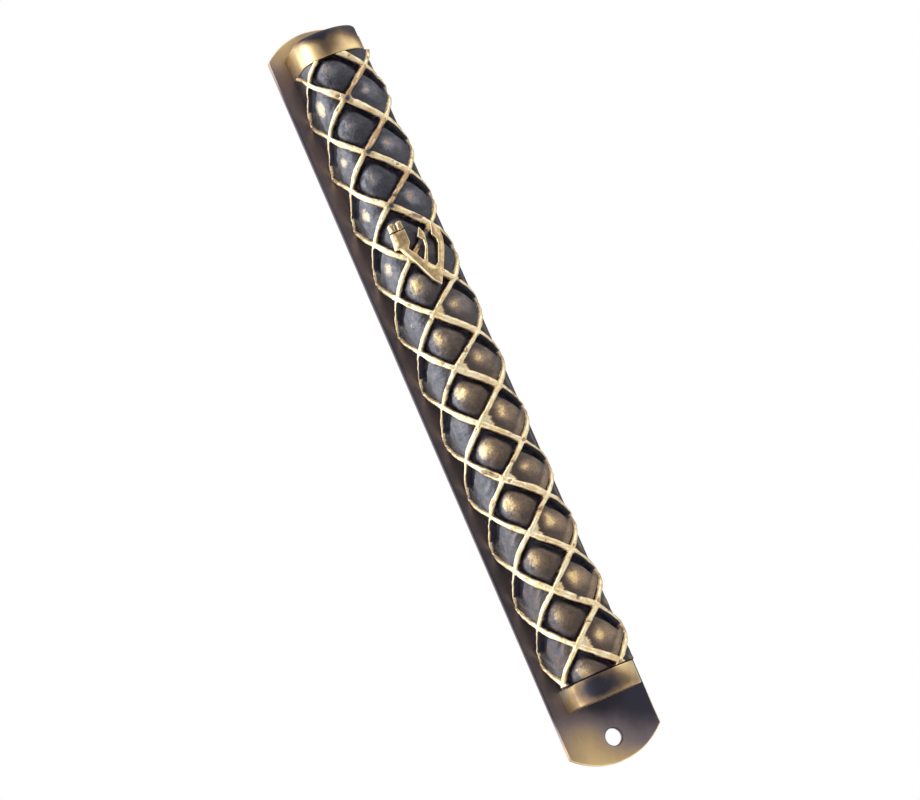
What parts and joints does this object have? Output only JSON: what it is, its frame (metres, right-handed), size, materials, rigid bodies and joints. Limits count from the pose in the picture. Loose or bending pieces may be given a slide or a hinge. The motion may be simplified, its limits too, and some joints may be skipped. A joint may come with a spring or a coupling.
{
  "type": "mezuzah case",
  "caption": "Upright brass doorpost case: thin backplate with arc ends, bowed lattice-ribbed cover, smooth end caps, a lift-off top cap and a raised three-armed letter.",
  "frame": {"origin": "middle of the backplate's flat back face, which lies against the doorpost", "axes": "+Z along the case to its top, +Y into the doorpost, +X to the right seen from the front; the front faces -Y"},
  "size_m": [0.022, 0.0139, 0.1696],
  "materials": {
    "plate_brass": "antiqued sheet brass, brushed lengthwise, worn pale at the edges",
    "cover_brass": "antiqued cast brass, ribs polished, cells left dark",
    "cap_brass": "satin antiqued brass",
    "badge_brass": "satin polished brass"
  },
  "bodies": {
    "case": {"backplate": "plate_brass", "lattice_cover": "cover_brass", "bottom_cap_band": "cap_brass", "bottom_cap_end": "cap_brass", "shin_badge": "badge_brass", "badge_pins": "badge_brass"},
    "top_cap": {"top_cap_band": "cap_brass", "top_cap_end": "cap_brass", "top_cap_sleeve": "cap_brass"}
  },
  "joints": [
    {"name": "top_cap_lift", "type": "slide", "parent": "case", "child": "top_cap", "axis": [0, 0, 1], "range_m": [0, 0.025]}
  ]
}
